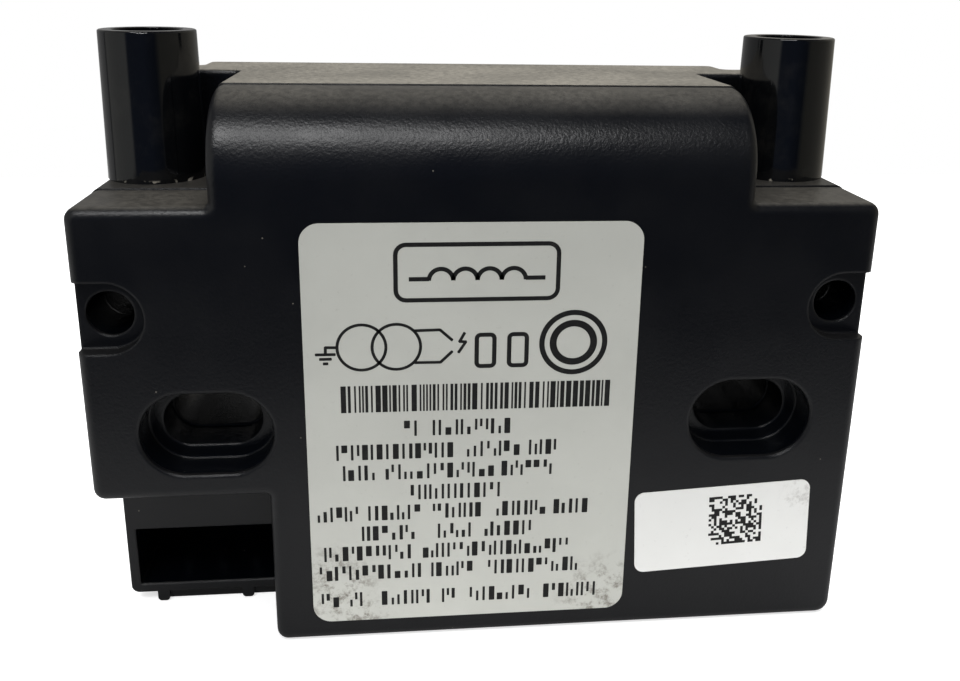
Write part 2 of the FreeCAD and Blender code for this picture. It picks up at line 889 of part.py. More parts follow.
def square_tube(outer, inner, x0, x1, radius):
    """Square sleeve round the I core, along X."""
    shapes = []
    for size, corner in ((outer, radius), (inner, 0)):
        half = size / 2
        corners = [
            (Vector(x0, core_y + u * half, core_mid_z + v * half), corner)
            for u, v in ((1, -1), (1, 1), (-1, 1), (-1, -1))
        ]
        shapes.append(rounded_face(corners).extrude(along_x * (x1 - x0)))
    return shapes[0].cut(shapes[1])


def make_primary_former():
    """Coil former on the I core with two square flanges and two feet that stand on the board."""
    half = primary_length / 2
    tube = square_tube(former_bore + 2 * former_wall, former_bore, -half, half, 0)
    pieces = []
    for side in both_sides:
        x0, x1 = sorted((side * half, side * (half - primary_flange)))
        pieces.append(square_tube(primary_flange_side, former_bore, x0, x1, 0))
        foot_x0, foot_x1 = sorted((side * half, side * (half - former_foot_width)))
        foot_y = core_y + primary_flange_side / 2
        pieces.append(
            box(
                foot_x0,
                foot_x1,
                foot_y,
                board_front,
                core_mid_z - former_foot_height / 2,
                core_mid_z + former_foot_height / 2,
            )
        )
    for x, z in former_pins():
        start = Vector(x, board_front - former_foot_width / 2, z)
        pieces.append(rod(start, along_y, board_back + tail_length - start.y, former_pin_radius))
    return join(tube, *pieces)


def make_primary_winding():
    """Winding between the primary former's flanges."""
    half = primary_length / 2 - primary_flange
    outer = primary_flange_side - 2 * primary_winding_margin
    return square_tube(outer, former_bore + 2 * former_wall, -half, half, primary_winding_radius)


def secondary_section_z(index):
    """Bottom and top of one winding section."""
    low = secondary_base_z + index * secondary_pitch + secondary_flange
    return low, low + secondary_pitch - secondary_flange


def crossover(side, wide, deep, z0, z1):
    """Bar in front of a leg, where the wire crosses from section to section."""
    x = side * core_leg_pitch / 2
    inner_y = core_y - secondary_winding_radius + crossover_depth
    return box(x - wide / 2, x + wide / 2, inner_y - deep, inner_y, z0, z1)


def make_secondary_former(side):
    """Sectioned coil former on one leg of the core, with a slot through each inner flange."""
    x = side * core_leg_pitch / 2
    half = former_bore / 2
    section = [(0, secondary_base_z, 0)]
    for index in range(secondary_sections + 1):
        flange_z = secondary_base_z + index * secondary_pitch
        if index > 0:
            section.append((former_radius, flange_z, 0))
        section.append((secondary_flange_radius, flange_z, 0))
        section.append((secondary_flange_radius, flange_z + secondary_flange, 0))
        if index < secondary_sections:
            section.append((former_radius, flange_z + secondary_flange, 0))
    section.append((0, secondary_top_z, 0))
    bore = box(x - half, x + half, core_y - half, core_y + half, secondary_base_z - 1, secondary_top_z + 1)
    slot_low, slot_high = secondary_section_z(0)[0], secondary_section_z(secondary_sections - 1)[1]
    slot = crossover(side, crossover_slot, 2 * crossover_depth, slot_low, slot_high)
    return carved(turned(section, x, core_y), [bore, slot])


def make_secondary_winding(side):
    """Winding in sections, joined by the wire that crosses the inner flanges."""
    x = side * core_leg_pitch / 2
    rings = []
    for index in range(secondary_sections):
        low, high = secondary_section_z(index)
        ring = rod(Vector(x, core_y, low), along_z, high - low, secondary_winding_radius)
        rings.append(ring.cut(rod(Vector(x, core_y, low), along_z, high - low, former_radius)))
    low, high = secondary_section_z(0)[0], secondary_section_z(secondary_sections - 1)[1]
    envelope = rod(Vector(x, core_y, low), along_z, high - low, secondary_winding_radius)
    bar = crossover(side, crossover_wire, crossover_depth, low, high).common(envelope)
    return join(rings[0], *rings[1:], bar)


def make_lead(side):
    """Insulated wire from the last section of a secondary to its outlet pin."""
    low, high = secondary_section_z(secondary_sections - 1)
    section_z = (low + high) / 2
    tail_z = (terminal_tail_z + spigot_base_z) / 2
    start_x = core_leg_pitch / 2 + secondary_winding_radius + lead_end_gap
    wall_x = hump_room - lead_wall_gap - lead_radius
    end_x = tube_x - terminal_radius - lead_end_gap
    points = [
        Vector(side * start_x, core_y, section_z),
        Vector(side * wall_x, core_y, section_z),
        Vector(side * wall_x, core_y, tail_z),
        Vector(side * end_x, tube_y, tail_z),
    ]
    return round_wire(points, lead_radius, lead_bend)


def make_potting(pieces):
    """Resin that fills every space left inside the closed box."""
    room = cover_room().fuse(housing_room())
    plugs = [
        rod(Vector(side * tube_x, tube_y, spigot_base_z), along_z, spigot_length + wall, spigot_radius)
        for side in both_sides
    ]
    kept_out = [piece.copy() for piece in pieces]
    return carved(room, kept_out + plugs + fixing_voids()).removeSplitter()


def make_all():
    """Every piece of the transformer by name."""
    nodes = {
        "front_cover": make_front_cover(),
        "rear_housing": make_rear_housing(),
        "main_label": make_main_label(),
        "small_label": make_small_label(),
        "input_pin_carrier": make_pin_carrier(),
        "ferrite_core_upper": make_upper_core(),
        "ferrite_core_lower": core_bar(core_base_z, leg_base_z),
        "primary_bobbin": make_primary_former(),
        "primary_winding": make_primary_winding(),
    }
    for side, name in side_names.items():
        nodes["hv_outlet_tube_" + name] = make_outlet_tube(side)
        nodes["hv_terminal_" + name] = make_terminal(side)
        nodes["hv_lead_" + name] = make_lead(side)
        nodes["secondary_bobbin_" + name] = make_secondary_former(side)
        nodes["secondary_winding_" + name] = make_secondary_winding(side)
    places, row_z = pin_places()
    for name, x in zip(pin_names, places):
        nodes["input_pin_" + name] = make_input_pin(x, row_z)
    board_parts = {
        "fuse": make_fuse(),
        "varistor": make_varistor(),
        "interference_choke": make_choke(),
        "film_capacitor": make_capacitor(),
        "power_resistor": make_resistor(),
        "rectifier_diodes": make_diodes(),
        "thyristor": make_thyristor(),
    }
    wires = []
    for name, (shape, places) in board_parts.items():
        nodes[name] = shape
        wires += places
    nodes["circuit_board"] = make_board(wires)
    nodes["potting_compound"] = make_potting(list(nodes.values()))
    return nodes


def main():
    """Builds every piece and writes each to its own file."""
    os.makedirs("parts", exist_ok=True)
    for name, shape in make_all().items():
        shape.exportStep("parts/" + name + ".step")
        print(name, len(shape.Solids), "solid, volume", round(shape.Volume, 1), "valid", shape.isValid())


main()
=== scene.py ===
import math
import random

import bpy
from mathutils import Matrix, Vector


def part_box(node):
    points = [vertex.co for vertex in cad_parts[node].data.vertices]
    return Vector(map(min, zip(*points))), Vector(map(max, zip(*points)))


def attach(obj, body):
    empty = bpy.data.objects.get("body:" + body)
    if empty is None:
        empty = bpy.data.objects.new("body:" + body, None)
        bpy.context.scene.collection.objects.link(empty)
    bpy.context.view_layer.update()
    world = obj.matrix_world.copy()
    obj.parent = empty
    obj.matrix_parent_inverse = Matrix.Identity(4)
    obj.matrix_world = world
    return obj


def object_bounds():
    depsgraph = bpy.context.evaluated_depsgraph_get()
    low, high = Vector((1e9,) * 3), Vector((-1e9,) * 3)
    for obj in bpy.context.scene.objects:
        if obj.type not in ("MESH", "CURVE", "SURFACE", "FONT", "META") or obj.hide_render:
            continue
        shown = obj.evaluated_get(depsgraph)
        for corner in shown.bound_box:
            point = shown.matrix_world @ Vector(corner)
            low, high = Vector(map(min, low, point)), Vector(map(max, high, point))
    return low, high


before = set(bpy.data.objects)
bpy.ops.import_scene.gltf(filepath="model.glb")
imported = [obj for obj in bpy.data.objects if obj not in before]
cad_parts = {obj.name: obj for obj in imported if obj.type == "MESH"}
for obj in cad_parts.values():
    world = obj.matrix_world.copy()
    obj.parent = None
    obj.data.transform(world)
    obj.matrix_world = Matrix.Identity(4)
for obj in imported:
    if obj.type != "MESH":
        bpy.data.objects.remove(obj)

bl_info = {
    "name": "Ignition transformer",
    "version": (1, 0, 0),
    "blender": (4, 5, 0),
    "location": "View3D > Sidebar > Transformer",
    "description": "Finishes the potted ignition transformer: mouldings, labels, their print and the stage",
    "category": "Object",
}

MM = 0.001
CAD_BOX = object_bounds()
BACK_Y = CAD_BOX[1].y
LABEL_LOW, LABEL_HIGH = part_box("main_label")
SMALL_LOW, SMALL_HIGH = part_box("small_label")
FACE_Y = LABEL_LOW.y
# the seam between cover and housing, and the height at which the outlet tubes stand on the shoulders
SEAM_Y = -9.05 * MM
SEAT_Z = 54.65 * MM
# print starts this far in front of its label, so that no two faces share a plane
PRINT_GAP = 0.002 * MM
# the camera fitted to the photograph: its place, its turn in degrees and the shift of its frame
CAMERA_PLACE = (-0.009549, -0.116977, 0.078357)
CAMERA_TURN = (74.11086, -1.00109, -5.72542)
CAMERA_SHIFT = (-0.01772, -0.0989)
# the room that the mouldings mirror, from the back round by the left, the front and the right to the back:
# how far round from 0 to 1, and the tone of the wall there; the first two are the ends of the ramp
ROOM = (
    (0.0, "#8c8c8c"),
    (1.0, "#8c8c8c"),
    (0.21, "#909090"),
    (0.219, "#33343a"),
    (0.228, "#a5a5a2"),
    (0.385, "#b9bab8"),
    (0.40, "#454d60"),
    (0.5, "#424b61"),
    (0.575, "#2b3242"),
    (0.605, "#75736a"),
    (0.74, "#827f76"),
    (0.86, "#9b978c"),
)
# painted shade inside each hole: its middle (x, z), its half width and half height in the front view, the y
# where it starts, whether it is on one side only, and how dark the painted shade is; in order, these are the
# fixing slots, their counterbores, the corner holes and the input socket
PAINTED_HOLE_SHADE = (
    (31.75 * MM, 28.1 * MM, 5.75 * MM, 3.35 * MM, -13.4 * MM, False, 1.0),
    (31.75 * MM, 28.1 * MM, 7.5 * MM, 5.1 * MM, -17.5 * MM, False, 0.85),
    (41.55 * MM, 42.2 * MM, 2.65 * MM, 2.65 * MM, -15.6 * MM, False, 1.0),
    (-34.9 * MM, 6.6 * MM, 8.6 * MM, 4.1 * MM, -8.5 * MM, True, 1.0),
)


def linear(code):
    """Turns an sRGB hex colour into the linear red, green and blue that Blender works in."""
    parts = [int(code[i : i + 2], 16) / 255 for i in (1, 3, 5)]
    return tuple(p / 12.92 if p <= 0.04045 else ((p + 0.055) / 1.055) ** 2.4 for p in parts)


def colour_setting(name, description, code):
    """A colour that a user can change, given as a hex value."""
    return bpy.props.FloatVectorProperty(
        name=name, description=description, subtype="COLOR", size=3, min=0, max=1, default=linear(code)
    )


def length_setting(name, description, millimetres):
    """A length that a user can change, given in millimetres and kept in metres."""
    return bpy.props.FloatProperty(
        name=name,
        description=description,
        subtype="DISTANCE",
        unit="LENGTH",
        default=millimetres * MM,
        precision=5,
    )


class MouldingFinish(bpy.types.PropertyGroup):
    """Colours and grain of the black mouldings."""

    housing: colour_setting("Housing", "Black nylon of the front cover and the rear housing", "#05060a")
    # the worn colour is wear and also a painted highlight on the edges
    worn: colour_setting("Worn edge", "Nylon where handling has rubbed its edges", "#2b2b2b")
    # the dust colour also paints sheen on upward faces and edges, and glints at the tube bases
    dust_and_sheen: colour_setting("Dust", "Dust that lies on upward faces and in corners", "#908b80")
    outlet: colour_setting("Outlet", "Black of the two outlet tubes", "#060709")
    grain: length_setting("Grain", "Size of the leathery grain that the mould leaves", 0.23)
    edge: length_setting("Edge", "Radius that the light sees on sharp edges", 0.45)


class LabelFinish(bpy.types.PropertyGroup):
    """Colours of the two labels."""

    rating: colour_setting("Rating label", "Warm grey film of the large label", "#c3c4bd")
    code: colour_setting("Small label", "White film of the small label", "#e6e6e3")
    dirt: colour_setting("Dirt", "Grime rubbed into the label's corners", "#5d5246")


class PrintSettings(bpy.types.PropertyGroup):
    """Sizes and colour of the print on the labels."""

    ink: colour_setting("Ink", "Black of the thermal print", "#0c0c0b")
    depth: length_setting("Depth", "How far the ink stands off the film", 0.012)
    line: length_setting("Line", "Width of a printed stroke", 0.36)
    cap: length_setting("Row height", "Height of a row of marks", 1.95)
    gap: length_setting("Gap", "Distance from one mark to the next", 0.5)
    module: length_setting("Bar module", "Width of the narrowest printed bar", 0.2)
    cell: length_setting("Cell", "Width of one square of the chequered field", 0.337)


class StageSettings(bpy.types.PropertyGroup):
    """Floor, light and camera."""

    floor_size: length_setting("Floor", "Side of the floor", 520)
    sky: bpy.props.FloatProperty(
        name="Room light", description="Brightness of the room's soft light", default=0.5, min=0
    )
    top_power: bpy.props.FloatProperty(
        name="Top light", description="Power of the soft light overhead", default=2.8, min=0, unit="POWER"
    )
    fill_power: bpy.props.FloatProperty(
        name="Front light", description="Power of the soft light in front", default=1.15, min=0, unit="POWER"
    )
    lens: bpy.props.FloatProperty(
        name="Lens", description="Focal length in mm, for a sensor 36 mm wide", default=35.179, min=1
    )


def add(tree, kind, feeds=None, **settings):
    """Adds a node, sets it up and feeds its inputs with values or with other nodes' outputs."""
    node = tree.nodes.new(kind)
    for name, value in settings.items():
        setattr(node, name, value)
    for name, value in (feeds or {}).items():
        if isinstance(value, bpy.types.NodeSocket):
            tree.links.new(value, node.inputs[name])
        else:
            node.inputs[name].default_value = value
    return node


def start_material(name):
    """A new material with one Principled shader; gives the material, its tree and that shader."""
    material = bpy.data.materials.new(name)
    material.use_nodes = True
    tree = material.node_tree
    tree.nodes.clear()
    shader = add(tree, "ShaderNodeBsdfPrincipled")
    add(tree, "ShaderNodeOutputMaterial", {"Surface": shader.outputs[0]})
    return material, tree, shader


def noise_at(tree, where, size, detail=2.0, rough=0.5):
    """Noise whose patches are about size metres across."""
    feeds = {"Vector": where, "Scale": 0.6 / size, "Detail": detail, "Roughness": rough}
    return add(tree, "ShaderNodeTexNoise", feeds).outputs[0]


def spread(tree, value, low, high, to_low=0.0, to_high=1.0):
    """Stretches the range low to high of a value over another range, with soft ends."""
    feeds = {"Value": value, "From Min": low, "From Max": high, "To Min": to_low, "To Max": to_high}
    return add(tree, "ShaderNodeMapRange", feeds, interpolation_type="SMOOTHSTEP").outputs[0]


def worked(tree, operation, first, second=0.0):
    """A sum, product or other simple working of two values."""
    return add(tree, "ShaderNodeMath", {0: first, 1: second}, operation=operation).outputs[0]


def blended(tree, amount, first, second):
    """The first colour, turning into the second by the amount."""
    return add(tree, "ShaderNodeMix", {0: amount, 6: first, 7: second}, data_type="RGBA").outputs[2]


def bumped(tree, height, depth, strength=1.0, over=None):
    """A surface normal roughened by a height of the given depth in metres."""
    feeds = {"Height": height, "Distance": depth, "Strength": strength}
    if over:
        feeds["Normal"] = over
    return add(tree, "ShaderNodeBump", feeds).outputs[0]


def opaque(colour):
    """A colour with its alpha."""
    return (*colour, 1.0)


def grey(level):
    """A grey of the given brightness, which may be over 1."""
    return (level, level, level, 1.0)


def dress(material, *nodes):
    """Puts a material on every slot of the named nodes."""
    for name in nodes:
        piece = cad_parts[name]
        if not piece.material_slots:
            piece.data.materials.append(material)
        for slot in piece.material_slots:
            slot.material = material


def painted_hole_shade(tree, where):
    """How much painted shade darkens the fixing slots, the corner holes and the input socket; 0 elsewhere."""
    axes = add(tree, "ShaderNodeSeparateXYZ", {0: where})
    across = worked(tree, "ABSOLUTE", axes.outputs[0])
    inside = None
    for x, z, wide, high, front_y, one_side, dark in PAINTED_HOLE_SHADE:
        aside = axes.outputs[0] if one_side else across
        within = {0: aside, 1: x, 2: wide}
        near_x = add(tree, "ShaderNodeMath", within, operation="COMPARE")
        within = {0: axes.outputs[2], 1: z, 2: high}
        near_z = add(tree, "ShaderNodeMath", within, operation="COMPARE")
        reach = (BACK_Y - 0.1 * MM - front_y) / 2
        within = {0: axes.outputs[1], 1: front_y + reach, 2: reach}
        near_y = add(tree, "ShaderNodeMath", within, operation="COMPARE")
        hole = worked(tree, "MULTIPLY", near_x.outputs[0], near_z.outputs[0])
        hole = worked(tree, "MULTIPLY", hole, near_y.outputs[0])
        hole = worked(tree, "MULTIPLY", hole, dark)
        inside = hole if inside is None else worked(tree, "MAXIMUM", inside, hole)
    return inside


def moulded_nylon(finish):
    """Black glass-filled nylon, injection moulded: nearly black and satin, with the mould's fine grain.
    Dust and a painted sheen lie on its upward faces, its edges are paler from rubbing and from a painted
    highlight, and painted shade darkens its holes."""
    material, tree, shader = start_material("Glass-filled nylon, injection moulded, dusty")
    places = add(tree, "ShaderNodeTexCoord")
    where = places.outputs["Object"]
    soft_edge = add(tree, "ShaderNodeBevel", {"Radius": finish.edge}, samples=4).outputs[0]
    facing = add(tree, "ShaderNodeNewGeometry").outputs["Normal"]
    # dust, partly a painted sheen, settles where a face or a softened edge looks up, in faint patches of some
    # 7 mm broken up by grains of 0.5 mm, and lies thickest on top of the hump behind the seam
    upward = add(tree, "ShaderNodeSeparateXYZ", {0: soft_edge}).outputs[2]
    axes = add(tree, "ShaderNodeSeparateXYZ", {0: where})
    looks_up = spread(tree, upward, 0.68, 1.0)
    patches = spread(tree, noise_at(tree, where, 7 * MM, 4.0, 0.6), 0.3, 0.75, 0.7, 1.0)
    grains = spread(tree, noise_at(tree, where, 0.5 * MM, 3.0, 0.7), 0.3, 0.7, 0.6, 1.0)
    height = axes.outputs[2]
    in_front = spread(tree, height, 48 * MM, 52 * MM, 0.03, 0.24)
    on_shoulder = spread(tree, height, 48 * MM, 52 * MM, 0.03, 0.15)
    at_back = worked(tree, "ADD", on_shoulder, spread(tree, height, 62 * MM, 66 * MM, 0.0, 0.67))
    past_seam = spread(tree, axes.outputs[1], SEAM_Y - 0.15 * MM, SEAM_Y + 0.15 * MM)
    dust_and_sheen_amount = add(tree, "ShaderNodeMix", {0: past_seam, 2: in_front, 3: at_back}).outputs[0]
    upward_patches = worked(tree, "MULTIPLY", looks_up, patches)
    film = worked(tree, "MULTIPLY", upward_patches, worked(tree, "MULTIPLY", grains, dust_and_sheen_amount))
    # a thin haze of dust on every face, in smears about 12 mm across
    smears = spread(tree, noise_at(tree, where, 12 * MM, 5.0, 0.65), 0.5, 0.8, 0.0, 0.008)
    film = worked(tree, "MAXIMUM", film, smears)
    # single specks, about 0.15 mm across and 2.6 mm apart; half of the cells have one
    cells = add(tree, "ShaderNodeTexVoronoi", {"Vector": where, "Scale": 1 / (2.6 * MM)})
    small = worked(tree, "LESS_THAN", cells.outputs["Distance"], 0.035)
    chosen = add(tree, "ShaderNodeSeparateColor", {0: cells.outputs["Color"]}).outputs[0]
    specks = worked(tree, "MULTIPLY", small, worked(tree, "GREATER_THAN", chosen, 0.5))
    specks = worked(tree, "MULTIPLY", specks, 0.45)
    # rubbed edges, paler both from wear and from a painted highlight: where the softened normal leaves the
    # face's own
    turn = add(tree, "ShaderNodeVectorMath", {0: soft_edge, 1: facing}, operation="DOT_PRODUCT")
    rubbed = spread(tree, turn.outputs["Value"], 0.99, 0.8, 0.0, 0.55)
    rubbed = worked(tree, "MULTIPLY", rubbed, spread(tree, noise_at(tree, where, 3 * MM, 4.0), 0.35, 0.7))
    # painted shade: little light gets into the fixing holes and the socket, so their colour is painted near
    # black and they get less dust
    depth = painted_hole_shade(tree, where)
    colour = blended(tree, depth, opaque(finish.housing), opaque(linear("#030509")))
    colour = blended(tree, rubbed, colour, opaque(finish.worn))
    film = worked(tree, "MULTIPLY", film, worked(tree, "SUBTRACT", 1.0, depth))
    # the dust film, partly painted sheen, laid over the colour
    colour = blended(tree, film, colour, opaque(finish.dust_and_sheen))
    colour = blended(tree, specks, colour, opaque(finish.dust_and_sheen))
    # satin from the grain of the mould, duller under dust, and smoother in the holes
    shine = spread(tree, noise_at(tree, where, 5 * MM, 4.0), 0.3, 0.7, 0.3, 0.38)
    shine = worked(tree, "ADD", shine, worked(tree, "MULTIPLY", film, 0.6))
    shine = add(tree, "ShaderNodeMix", {0: depth, 2: shine, 3: 0.2}).outputs[0]
    # sink marks of 8 mm and the mould's grain, which is coarser at the top
    coarse = spread(tree, height, 50 * MM, 55 * MM, 0.45, 0.8)
    waves = bumped(tree, noise_at(tree, where, 8 * MM, 1.0), 0.12 * MM, 0.35, soft_edge)
    grain = bumped(tree, noise_at(tree, where, finish.grain, 2.0, 0.6), 0.05 * MM, coarse, waves)
    tree.links.new(colour, shader.inputs["Base Color"])
    tree.links.new(shine, shader.inputs["Roughness"])
    tree.links.new(grain, shader.inputs["Normal"])
    shader.inputs["IOR"].default_value = 1.5
    return material


def polished_outlet(finish):
    """Black polyester, moulded in a polished tube mould: glossy, with fine draw lines and a dusty rim."""
    material, tree, shader = start_material("Thermoset polyester, polished mould")
    places = add(tree, "ShaderNodeTexCoord")
    where = places.outputs["Object"]
    facing = add(tree, "ShaderNodeNewGeometry").outputs["Normal"]
    upward = add(tree, "ShaderNodeSeparateXYZ", {0: facing}).outputs[2]
    # draw lines 0.5 mm apart run the length of the tube
    drawn = add(tree, "ShaderNodeMapping", {"Vector": where, "Scale": (1.0, 1.0, 0.04)}).outputs[0]
    lines = noise_at(tree, drawn, 0.5 * MM, 3.0, 0.6)
    broad = noise_at(tree, drawn, 2.5 * MM, 2.0, 0.5)
    rim = worked(tree, "MULTIPLY", spread(tree, upward, 0.5, 1.0), spread(tree, lines, 0.3, 0.7, 0.02, 0.12))
    smears = spread(tree, noise_at(tree, where, 4 * MM, 5.0, 0.7), 0.5, 0.8, 0.0, 0.03)
    film = worked(tree, "MAXIMUM", rim, smears)
    # painted glints: light flecks in the dust colour, about 0.4 mm across, where a tube meets its shoulder
    height = add(tree, "ShaderNodeSeparateXYZ", {0: where}).outputs[2]
    low_down = spread(tree, height, SEAT_Z + 0.5 * MM, SEAT_Z + 0.2 * MM)
    painted_base_glints = spread(tree, noise_at(tree, where, 0.8 * MM, 2.0), 0.6, 0.66, 0.0, 0.9)
    film = worked(tree, "MAXIMUM", film, worked(tree, "MULTIPLY", low_down, painted_base_glints))
    colour = blended(tree, film, opaque(finish.outlet), opaque(finish.dust_and_sheen))
    shine = spread(tree, broad, 0.3, 0.7, 0.05, 0.1)
    shine = worked(tree, "ADD", shine, worked(tree, "MULTIPLY", film, 0.8))
    ripples = bumped(tree, broad, 0.05 * MM, 0.4)
    fine = bumped(tree, lines, 0.01 * MM, 0.5, ripples)
    tree.links.new(colour, shader.inputs["Base Color"])
    tree.links.new(shine, shader.inputs["Roughness"])
    tree.links.new(fine, shader.inputs["Normal"])
    shader.inputs["IOR"].default_value = 1.52
    return material


def label_film(name, colour, dirt, corners, mottle, grime):
    """Polyester label film, coated for print and stuck down: even and satin, faintly mottled.
    Grime of the given strength sits in the corners given as (x, z, reach) in metres."""
    material, tree, shader = start_material(name)
    places = add(tree, "ShaderNodeTexCoord")
    where = places.outputs["Object"]
    cloud = spread(tree, noise_at(tree, where, 9 * MM, 4.0, 0.6), 0.3, 0.7, 0.0, mottle)
    tint = blended(tree, cloud, opaque(colour), opaque([c * 0.8 for c in colour]))
    fibre = noise_at(tree, where, 0.35 * MM, 3.0, 0.7)
    tint = blended(tree, spread(tree, fibre, 0.62, 0.8, 0.0, 0.12), tint, opaque(dirt))
    smudge = None
    for x, z, reach in corners:
        middle = (x, FACE_Y, z)
        away = add(tree, "ShaderNodeVectorMath", {0: where, 1: middle}, operation="DISTANCE").outputs["Value"]
        near = spread(tree, away, reach, reach * 0.25)
        smudge = near if smudge is None else worked(tree, "MAXIMUM", smudge, near)
    # grime in blots of 1.1 mm with grains of 0.2 mm
    blots = spread(tree, noise_at(tree, where, 1.1 * MM, 5.0, 0.75), 0.46, 0.68)
    smudge = worked(tree, "MULTIPLY", worked(tree, "MULTIPLY", smudge, blots), grime)
    tint = blended(tree, smudge, tint, opaque(dirt))
    shine = spread(tree, noise_at(tree, where, 4 * MM, 3.0), 0.3, 0.7, 0.38, 0.5)
    tree.links.new(tint, shader.inputs["Base Color"])
    tree.links.new(shine, shader.inputs["Roughness"])
    tree.links.new(bumped(tree, noise_at(tree, where, 6 * MM, 2.0), 0.05 * MM, 0.25), shader.inputs["Normal"])
    shader.inputs["IOR"].default_value = 1.45
    return material


def thermal_ink(settings):
    """Resin ribbon ink, thermally printed: matt black, a little broken at its edges."""
    material, tree, shader = start_material("Resin ribbon ink, thermally printed")
    where = add(tree, "ShaderNodeTexCoord").outputs["Object"]
    worn = spread(tree, noise_at(tree, where, 0.4 * MM, 4.0, 0.7), 0.5, 0.85, 0.0, 0.35)
    colour = blended(tree, worn, opaque(settings.ink), opaque(linear("#4a4a45")))
    tree.links.new(colour, shader.inputs["Base Color"])
    shader.inputs["Roughness"].default_value = 0.6
    return material


def plain_material(name, colour, second, size, shine, bump=0.0, metal=0.0, stretch=(1.0, 1.0, 1.0)):
    """A material of two close colours in patches of the given size, with that grain pressed into it."""
    material, tree, shader = start_material(name)
    where = add(tree, "ShaderNodeTexCoord").outputs["Object"]
    if stretch != (1.0, 1.0, 1.0):
        where = add(tree, "ShaderNodeMapping", {"Vector": where, "Scale": stretch}).outputs[0]
    pattern = noise_at(tree, where, size, 4.0, 0.6)
    tint = blended(tree, spread(tree, pattern, 0.3, 0.7), opaque(linear(colour)), opaque(linear(second)))
    tree.links.new(tint, shader.inputs["Base Color"])
    tree.links.new(spread(tree, pattern, 0.3, 0.7, shine - 0.05, shine + 0.05), shader.inputs["Roughness"])
    if bump:
        tree.links.new(bumped(tree, pattern, bump), shader.inputs["Normal"])
    shader.inputs["Metallic"].default_value = metal
    return material


def start_modelling():
    """Leaves nothing selected, in object mode."""
    if bpy.context.mode != "OBJECT":
        bpy.ops.object.mode_set(mode="OBJECT")
    bpy.ops.object.select_all(action="DESELECT")


def press_out():
    """Gives the flat shape that is being edited the ink's thickness, and ends the edit."""
    depth = bpy.context.scene.print_settings.depth
    bpy.ops.mesh.select_all(action="SELECT")
    bpy.ops.mesh.extrude_region_move(TRANSFORM_OT_translate={"value": (0, -depth, 0)})
    bpy.ops.mesh.select_all(action="SELECT")
    bpy.ops.mesh.normals_make_consistent(inside=False)
    bpy.ops.object.mode_set(mode="OBJECT")
    return bpy.context.object


def start_plate(wide, high, corner=0.0, segments=3):
    """A flat plate that looks forward, centred on the origin, left in edit mode."""
    start_modelling()
    bpy.ops.mesh.primitive_plane_add(size=1, rotation=(math.pi / 2, 0, 0))
    bpy.ops.object.transform_apply(location=True, rotation=True, scale=True)
    bpy.ops.object.mode_set(mode="EDIT")
    bpy.ops.transform.resize(value=(wide, 1, high))
    if corner:
        bpy.ops.mesh.bevel(offset=corner, segments=segments, affect="VERTICES")


def ink_block(wide, high, corner=0.0):
    """A printed block with soft corners."""
    start_plate(wide, high, corner, 2)
    return press_out()


def ink_frame(wide, high, corner, line):
    """A printed outline with rounded corners."""
    start_plate(wide, high, corner, 6)
    bpy.ops.mesh.inset(thickness=line, depth=0)
    bpy.ops.mesh.delete(type="FACE")
    return press_out()


def ink_ring(radius, line, upper_half=False):
    """A printed ring, or its upper half."""
    start_modelling()
    bpy.ops.mesh.primitive_circle_add(vertices=56, radius=radius, rotation=(math.pi / 2, 0, 0))
    bpy.ops.object.transform_apply(location=True, rotation=True, scale=True)
    bpy.ops.object.mode_set(mode="EDIT")
    bpy.ops.mesh.select_all(action="SELECT")
    bpy.ops.mesh.extrude_region_move()
    inner = (radius - line) / radius
    bpy.ops.transform.resize(value=(inner, 1, inner))
    if upper_half:
        bpy.ops.mesh.select_all(action="SELECT")
        bpy.ops.mesh.bisect(plane_co=(0, 0, 0), plane_no=(0, 0, 1), clear_inner=True)
    return press_out()


def copy_of(shape, place):
    """A copy of a modelled shape with its own mesh, moved to a place."""
    twin = shape.copy()
    twin.data = shape.data.copy()
    twin.data.transform(place)
    bpy.context.collection.objects.link(twin)
    return twin


def on_label(x, z, turn=0.0, wide=1.0, high=1.0):
    """The place of a mark on the large label, in mm from its lower left corner."""
    spot = Vector((LABEL_LOW.x + x * MM, FACE_Y + PRINT_GAP, LABEL_LOW.z + z * MM))
    stretched = Matrix.Diagonal((wide, 1.0, high, 1.0))
    return Matrix.Translation(spot) @ Matrix.Rotation(-turn, 4, "Y") @ stretched


def line_between(shape, start, end, length, line):
    """A copy of a block of the given length and width, laid from one point of the label to another."""
    run = Vector(end) - Vector(start)
    middle = (Vector(start) + Vector(end)) / 2
    turn = math.atan2(run.y, run.x)
    reach = (run.length * MM + line * 0.6) / length
    return copy_of(shape, on_label(middle.x, middle.y, turn, reach, 1.0))


def finish_print(name, marks, patterns=()):
    """Joins marks into one printed piece, inks it and lets it ride on the transformer."""
    start_modelling()
    for mark in marks:
        mark.select_set(True)
    bpy.context.view_layer.objects.active = marks[0]
    bpy.ops.object.join()
    piece = bpy.context.object
    piece.name = name
    piece.data.name = name
    piece.data.materials.clear()
    ink = bpy.data.materials.get("Resin ribbon ink, thermally printed")
    piece.data.materials.append(ink or thermal_ink(bpy.context.scene.print_settings))
    for pattern in patterns:
        bpy.data.objects.remove(pattern)
    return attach(piece, "root")


